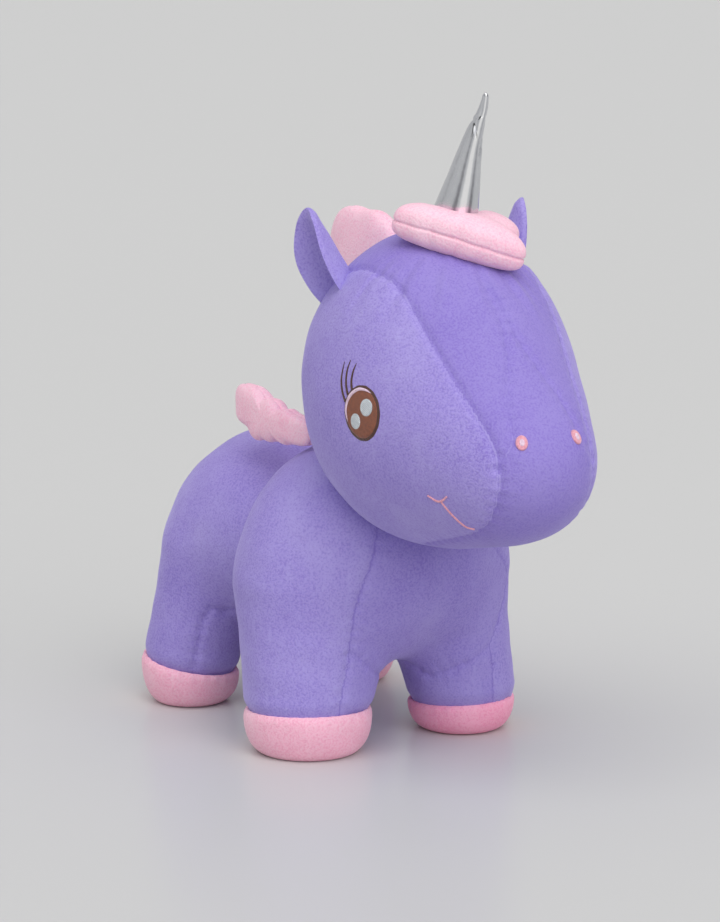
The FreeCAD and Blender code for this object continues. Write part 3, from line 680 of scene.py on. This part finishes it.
def stitched(name, ring_sets, side, material, slot, *nodes):
    """Makes one embroidered piece of some ring surfaces, mirrored to its side of the head."""
    rings = [part * ((1, 1, 1) if side < 0 else (-1, 1, 1)) for part in ring_sets]
    piece = joined(name, [ring_mesh("part", part) for part in rings])
    piece.data.shade_smooth()
    piece.data.materials.append(material)
    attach(piece, "head")
    if nodes:
        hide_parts(*nodes)
    return piece


brown_dark = thread("brown_thread_outline", linear(84, 44, 30), linear(48, 22, 16), 0.0007, (0.3, 0.5, 0.2))
brown = thread("brown_thread_iris", linear(150, 82, 52), linear(98, 50, 32), 0.0006, (0.5, 0.9, 0.8))
white = thread("white_thread", linear(222, 228, 232), linear(150, 158, 168), 0.0008, (0.7, 0.6, 0.8))
lid_pink = thread("pale_pink_thread", linear(246, 222, 238), linear(214, 176, 204), 0.0006, (0.2, 0.2, 0.9))
pink_thread = thread("pink_thread", linear(250, 182, 196), linear(216, 136, 160), 0.0006, (0.1, 0.2, 0.4))


def flat_line(middle, points, count=STITCH_ROWS):
    """A smooth line given forwards and upwards of a place on the skin."""
    place, forward, upward = skin_frame(middle)
    flat = smooth_line([(*point, 0) for point in points], count)
    return place + flat[:, :1] * forward + flat[:, 1:2] * upward


for word, side in SIDES.items():
    outline = [patch_rings(EYE_MIDDLE, (0, 0), EYE_HALF, 0.45, fray=0.012)]
    outline += [strip_rings(flat_line(EYE_MIDDLE, lash), (1.5, 1.3, 1.0, 0.35), 0.5) for lash in LASHES]
    stitched(f"eye_outline_{word}", outline, side, brown_dark, "thread_brown", f"eye_outline_{word}")
    iris = [patch_rings(EYE_MIDDLE, (0, 0), [half - EYE_BORDER for half in EYE_HALF], 0.75, fray=0.006)]
    stitched(f"eye_iris_{word}", iris, side, brown, "thread_brown", f"eye_iris_{word}")
    for level, (offset, half) in HIGHLIGHTS.items():
        spot = [patch_rings(EYE_MIDDLE, offset, half, 1.05, tilt=-0.15, fray=0.01)]
        name = f"eye_highlight_{level}_{word}"
        stitched(name, spot, side, white, "thread_white", name)
    lid = [strip_rings(flat_line(EYE_MIDDLE, LID_ARC), (0.3, 1.5, 2.4, 2.1, 1.5, 0.3), 1.1)]
    stitched(f"eye_lid_{word}", lid, side, lid_pink, "thread_pink")
    nostril = [patch_rings(NOSTRIL, (0, 0), (3.1, 4.0), 0.9)]
    stitched(f"nostril_{word}", nostril, side, pink_thread, "thread_pink", f"nostril_{word}")
    middle = [patch_rings(NOSTRIL, (0, 0), (1.4, 2.0), 1.2)]
    stitched(f"nostril_middle_{word}", middle, side, lid_pink, "thread_pink")
    mouth = [strip_rings(smooth_line(MOUTH_TICK, 30), (0.9, 1.3, 1.3, 0.9), 0.6),
             strip_rings(smooth_line(MOUTH_LINE, 40), (1.1, 1.3, 1.3, 1.1), 0.6)]
    stitched(f"mouth_{word}", mouth, side, pink_thread, "thread_pink", f"mouth_{word}")

# ---------------------------------------------------------------------------
# Ears.
# Two skins of purple plush round a thin layer of filling, cupped so that they
# open outwards, and sewn by the foot into the seam between cheek and brow.
# ---------------------------------------------------------------------------
EAR_PLACES = {"right": (np.array((-45.0, -99, 252.0)), np.array((-67.5, -89.5, 293.5)), (-1, 0, 0.1), 17.0),
              "left": (np.array((48.0, -106, 254.0)), np.array((62.0, -116.0, 296.0)), (0.87, -0.5, 0.1), 12.0)}
EAR_HALF_WIDTH, EAR_THICKNESS = 14.5, 5.5
EAR_ROWS, EAR_COLUMNS = 70, 96


def ear_rings(foot, tip, opening, cup_depth):
    """Rings from foot to tip: a flat oval as wide as a leaf, cupped by the square of the way across."""
    foot, axis = np.array(foot), np.subtract(tip, foot)
    length = np.linalg.norm(axis)
    axis /= length
    opening = opening - axis * (opening @ axis)
    opening /= np.linalg.norm(opening)
    across = np.cross(axis, opening)
    share = np.sin(np.linspace(0, math.pi / 2, EAR_ROWS))[:, None]
    round_tip = np.sqrt(np.clip(1 - (np.clip(share - 0.42, 0, 1) / 0.5801) ** 2, 0, 1))
    half_width = EAR_HALF_WIDTH * round_tip * (0.90 + 0.10 * np.sin(math.pi / 2 * np.clip(share / 0.42, 0, 1)))
    turn = np.linspace(0, 2 * math.pi, EAR_COLUMNS, endpoint=False)[None]
    side_way = np.sign(np.cos(turn)) * np.abs(np.cos(turn)) ** 0.85
    rim = np.exp(-((np.abs(np.cos(turn)) - 1) / 0.02) ** 2)
    thick = EAR_THICKNESS / 2 * np.sqrt(np.clip((1 - share) / 0.10, 0, 1))
    thick = thick * np.sign(np.sin(turn)) * np.abs(np.sin(turn)) ** 0.6
    cup = cup_depth * (half_width / EAR_HALF_WIDTH) ** 2 * side_way ** 2 * (1 - 0.35 * share)
    rings = foot + axis * (share * length)[..., None] \
        + across * (half_width * side_way * (1 - 0.05 * rim))[..., None] \
        + opening * (cup + thick - cup_depth * 0.5)[..., None]
    return rings + (waves(rings.reshape(-1, 3), 31, 18).reshape(rings.shape[:2]) * 0.35)[..., None] * opening


purple_ear = pile("purple_plush_ears", PURPLE_UP_AND_LIGHT, PURPLE, PURPLE_DOWN_AND_SHADE, 0.55, LILAC_SHEEN)
for word in EAR_PLACES:
    ear = as_object(f"ear_{word}", ring_mesh(f"ear_{word}", ear_rings(*EAR_PLACES[word])))
    ear.data.materials.append(purple_ear)
    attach(ear, f"ear_{word}")
    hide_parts(f"ear_{word}", f"ear_lining_{word}")

# ---------------------------------------------------------------------------
# Horn.
# A cone of thin silver-coated cloth, seamed up the back, lightly stuffed so it
# creases, with a pinched tip that bends a little forwards.
# ---------------------------------------------------------------------------
HORN_FOOT, HORN_TIP = np.array((0, -135.5, 288.0)), np.array((0, -166.5, 361.0))
HORN_RADIUS, HORN_END = 13.4, 1.3
HORN_ROWS, HORN_COLUMNS = 150, 120

axis = HORN_TIP - HORN_FOOT
horn_length = np.linalg.norm(axis)
axis /= horn_length
share = np.linspace(0, 1, HORN_ROWS)[:, None]
turn = np.linspace(0, 2 * math.pi, HORN_COLUMNS, endpoint=False)[None]
radius = HORN_END + (HORN_RADIUS - HORN_END) * (1 - share) ** 1.05
radius = radius * np.sqrt(np.clip((1 - share) / 0.02, 0, 1) * 0.9 + 0.1)
length_here = share * horn_length
crease = np.zeros_like(share * turn)
CREASES = ((0.3, 0.02, 0.3, 0.10, 0.55), (0.8, -0.13, 2.6, 0.55, 0.90), (1.2, 0.10, 4.4, 0.52, 1.0),
           (0.9, -0.2, 1.4, 0.6, 1.0), (0.9, 0.25, 3.6, 0.60, 0.95))
for strength, lean, phase, start, end in CREASES:
    gap = (turn - phase - lean * length_here / radius.clip(3) * 1.2 + math.pi) % (2 * math.pi) - math.pi
    fade = np.clip((share - start) / 0.08, 0, 1) * np.clip((end - share) / 0.08, 0, 1)
    crease -= strength * fade * np.exp(-(gap * radius / 1.5) ** 2)
smooth_cone = np.stack([np.cos(turn) * radius, np.sin(turn) * radius, length_here + 0 * turn], -1)
crumple = waves(smooth_cone.reshape(-1, 3), 41, 14, 8).reshape(crease.shape)
crumple = crumple * (0.08 + 0.7 * np.clip((share - 0.5) / 0.15, 0, 1))
seam = -0.5 * np.exp(-((((turn - math.pi / 2 + math.pi) % (2 * math.pi)) - math.pi) * radius / 1.0) ** 2)
around = (radius + (crease + crumple) * np.clip(radius / 5, 0.35, 1) + seam).clip(0.5)
forward = np.cross(axis, (1, 0, 0))
bend = 2.2 * share ** 3 * np.sin(share * 9)
rings = HORN_FOOT + axis * length_here[..., None] \
    + np.array((1, 0, 0)) * (around * np.cos(turn) + bend)[..., None] \
    + forward * (around * np.sin(turn))[..., None]
lame = bpy.data.materials.new("silver_lame")
lame.use_nodes = True
tree = lame.node_tree
shader = tree.nodes["Principled BSDF"]
where = add_node(tree, "ShaderNodeTexCoord").outputs["Object"]
weave = add_node(tree, "ShaderNodeTexChecker", Scale=2400.0)
link(tree, where, weave.inputs["Vector"])
# The cloth's colour holds painted reflections fixed on it: dark bands round the cone, bent by the creases, and a
# bright painted highlight band down one side, broken by a little noise.
REFLECTION_BANDS_AROUND, FIRST_REFLECTION_BAND, REFLECTION_MIDDLE = 8, math.radians(228), math.radians(251)
painted_highlight_band = 0.5 + 0.5 * np.cos(2 * (turn - REFLECTION_MIDDLE))
dark = (0.5 + 0.5 * np.cos(REFLECTION_BANDS_AROUND * (turn - FIRST_REFLECTION_BAND) + 1.5 * crease)) ** 1.5
dark = dark * (0.15 + 0.85 * painted_highlight_band) * (1 - 0.4 * share)
painted_reflection = 0.5 + 0.5 * (dark - painted_highlight_band ** 3 * (1 - dark))
painted_reflection_at = add_node(tree, "ShaderNodeAttribute", attribute_name="painted_reflection").outputs["Fac"]
broken_painted_reflection = mixed(tree, 0.16, painted_reflection_at, noise_of(tree, where, 0.0018, 3.0, (1, 1, 2)))
# Painted highlight in white where the painted reflection is low, and near black painted reflection where it is high.
silver = mixed(tree, ramp(tree, broken_painted_reflection, 0.10, 0.50), (1.0, 1.0, 1.0, 1), (0.64, 0.65, 0.68, 1))
painted_reflection_colour = mixed(tree, ramp(tree, broken_painted_reflection, 0.52, 0.92), silver, (0.14, 0.14, 0.16, 1))
link(tree, painted_reflection_colour, shader.inputs["Base Color"])
shader.inputs["Metallic"].default_value = 1.0
shader.inputs["Roughness"].default_value = 0.13
rough_height = mixed(tree, 0.5, weave.outputs["Fac"], noise_of(tree, where, 0.0022, 3.0))
bump = add_node(tree, "ShaderNodeBump", Strength=0.12, Distance=0.0002)
link(tree, rough_height, bump.inputs["Height"])
link(tree, bump.outputs["Normal"], shader.inputs["Normal"])
horn = as_object("horn", ring_mesh("horn", rings))
poles = np.zeros(len(horn.data.vertices) - painted_reflection.size)
set_value(horn.data, "painted_reflection", np.concatenate([painted_reflection.ravel(), poles]))
horn.data.materials.append(lame)
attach(horn, "horn")
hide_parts("horn_skin", "horn_stuffing")

# ---------------------------------------------------------------------------
# Forelock, mane, wings and tail.
# Pads of pink plush: two skins cut to a lobed outline, sewn edge to edge,
# turned and stuffed, so a seam runs round each pad at half its thickness.
# ---------------------------------------------------------------------------
FORELOCK_LOBES = [(-23, -130.5, 8.5), (-16, -137.5, 12.5), (-7, -145.5, 14.5), (2, -153.5, 14.5),
                  (10.5, -160.5, 12), (17, -166, 7.5),
                  (25, -141, 10.5), (14, -148, 12), (-17, -128, 8), (0, -138, 12)]
FORELOCK_MIDDLE, FORELOCK_LEVEL = (-3, -147.5), 288.0
FORELOCK_NORMAL = np.array((0.13, -0.26, 0.957))
MANE_LOBES = [(-35, 269, 20.5), (-58, 273, 16.5), (-68, 270, 15), (-60, 247, 17), (-31, 236, 17),
              (-38, 208, 15), (-48, 226, 14)]
WING_LOBES = [(-46, 170, 8.6), (-30, 170.5, 10), (-13, 171.5, 12), (4, 178.5, 9.6), (14, 180, 8.4),
              (14.5, 173, 7.4), (-1, 168.5, 10)]
PAD_COLUMNS, PAD_ROWS = 260, 90
HAIR_THICKNESS, MANE_THICKNESS, WING_THICKNESS = 24.0, 19.0, 14.0


def outline_reach(lobes, middle, turn, softness):
    """The farthest reach of some circles along each direction from the middle, its notches rounded."""
    way = np.stack([np.cos(turn), np.sin(turn)], -1)
    reach = np.zeros(len(turn))
    for x, y, radius in lobes:
        offset = np.array((x, y)) - middle
        along, off = way @ offset, way[:, 0] * offset[1] - way[:, 1] * offset[0]
        inside = radius ** 2 - off ** 2
        reach = np.maximum(reach, np.where(inside > 0, along + np.sqrt(np.maximum(inside, 0)), 0))
    shifts = np.arange(-3 * softness, 3 * softness + 1)
    weights = np.exp(-(shifts / softness) ** 2)
    return sum(weight * np.roll(reach, shift) for weight, shift in zip(weights / weights.sum(), shifts))


def pad_rings(lobes, middle, thickness, place, seed, softness=4):
    """Rings over a pad, round its rim and under it: reach goes by a power of the sine, height of the cosine."""
    spread = np.linspace(-1, 1, PAD_ROWS)[:, None]
    slope = math.pi / 2 + (math.pi / 2 - 0.02) * np.sign(spread) * np.abs(spread) ** 1.6
    turn = np.linspace(0, 2 * math.pi, PAD_COLUMNS, endpoint=False)
    reach = outline_reach(lobes, np.array(middle), turn, softness)[None]
    height = np.sign(np.cos(slope)) * np.abs(np.cos(slope)) ** 0.62 * thickness / 2 + 0 * reach
    share = np.sin(slope) ** 0.85
    groove = 1.0 * np.exp(-(height / 0.8) ** 2)
    out = share * reach - groove * share
    a, b = middle[0] + out * np.cos(turn), middle[1] + out * np.sin(turn)
    uneven = waves(np.stack([a, b, height * 0], -1).reshape(-1, 3), seed, 22).reshape(a.shape)
    height = height + uneven * 0.5 * (share < 0.99)
    return place(a, b, height)


def forelock_place(x, y, height):
    """The forelock's middle sheet: it falls along its front petal and forwards, and dips round the horn."""
    along = 0.75 * (x + 4) - 0.66 * (y + 148)
    ahead = -0.66 * (x + 4) - 0.75 * (y + 148)
    dip = 5.0 * np.exp(-(x ** 2 + (y + 133) ** 2) / 160.0)
    level = FORELOCK_LEVEL - 0.28 * along - 0.003 * along ** 2 - 0.1 * ahead - dip
    return np.stack([x, y, level], -1) + height[..., None] * FORELOCK_NORMAL


def upright_place(x, twist=0.0):
    """A pad that stands lengthwise; twist leans it out along its length."""
    return lambda y, z, height: np.stack([x + height + twist * (y + 50), y, z], -1)


def pad(name, body, rings, nodes):
    """Makes a pad of pink plush from its rings."""
    piece = as_object(name, ring_mesh(name, rings))
    piece.data.materials.append(pink_hair)
    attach(piece, body)
    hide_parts(*nodes)
    return piece


pink_hair = pile("pink_plush_hair", linear(255, 224, 236), linear(255, 200, 220), linear(242, 166, 198), 0.45,
                 linear(255, 225, 235))
pad("forelock", "head", pad_rings(FORELOCK_LOBES, FORELOCK_MIDDLE, HAIR_THICKNESS, forelock_place, 51),
    ("forelock_top", "forelock_under", "forelock_stuffing"))
pad("mane", "head", pad_rings(MANE_LOBES, (-54, 250), MANE_THICKNESS, upright_place(0), 52, 9),
    ("mane_skin_right", "mane_skin_left", "mane_stuffing"))
for word, side in SIDES.items():
    rings = pad_rings(WING_LOBES, (-14, 172), WING_THICKNESS, upright_place(-37, -0.05), 53)
    rings = rings * ((1, 1, 1) if side < 0 else (-1, 1, 1))
    nodes = [f"wing_{part}_{word}" for part in ("outer", "inner", "stuffing")]
    pad(f"wing_{word}", f"wing_{word}", rings, nodes)

TAIL_TOP, TAIL_END = np.array((0, 103.0, 122)), np.array((0, 116.0, 66))
TAIL_OUT = np.array((0, 0.97, 0.22))
TAIL_HALF_WIDTH, TAIL_HALF_DEPTH = 13, 8
share = np.linspace(0, 1, 60)[:, None]
turn = np.linspace(0, 2 * math.pi, 96, endpoint=False)[None]
swell = np.sqrt(np.clip(1 - (2 * np.clip(share, 0.004, 0.996) - 1) ** 2, 0, 1)) * (0.75 + 0.35 * share)
seam_pinch = 1 - 0.12 * np.exp(-(np.sin(turn) / 0.12) ** 2)
rings = TAIL_TOP + (TAIL_END - TAIL_TOP) * share[..., None] \
    + np.array((1, 0, 0)) * (TAIL_HALF_WIDTH * swell * np.cos(turn))[..., None] \
    + TAIL_OUT * (TAIL_HALF_DEPTH * swell * np.sin(turn) * seam_pinch)[..., None]
pad("tail", "tail", rings, ("tail_skin", "tail_stuffing"))
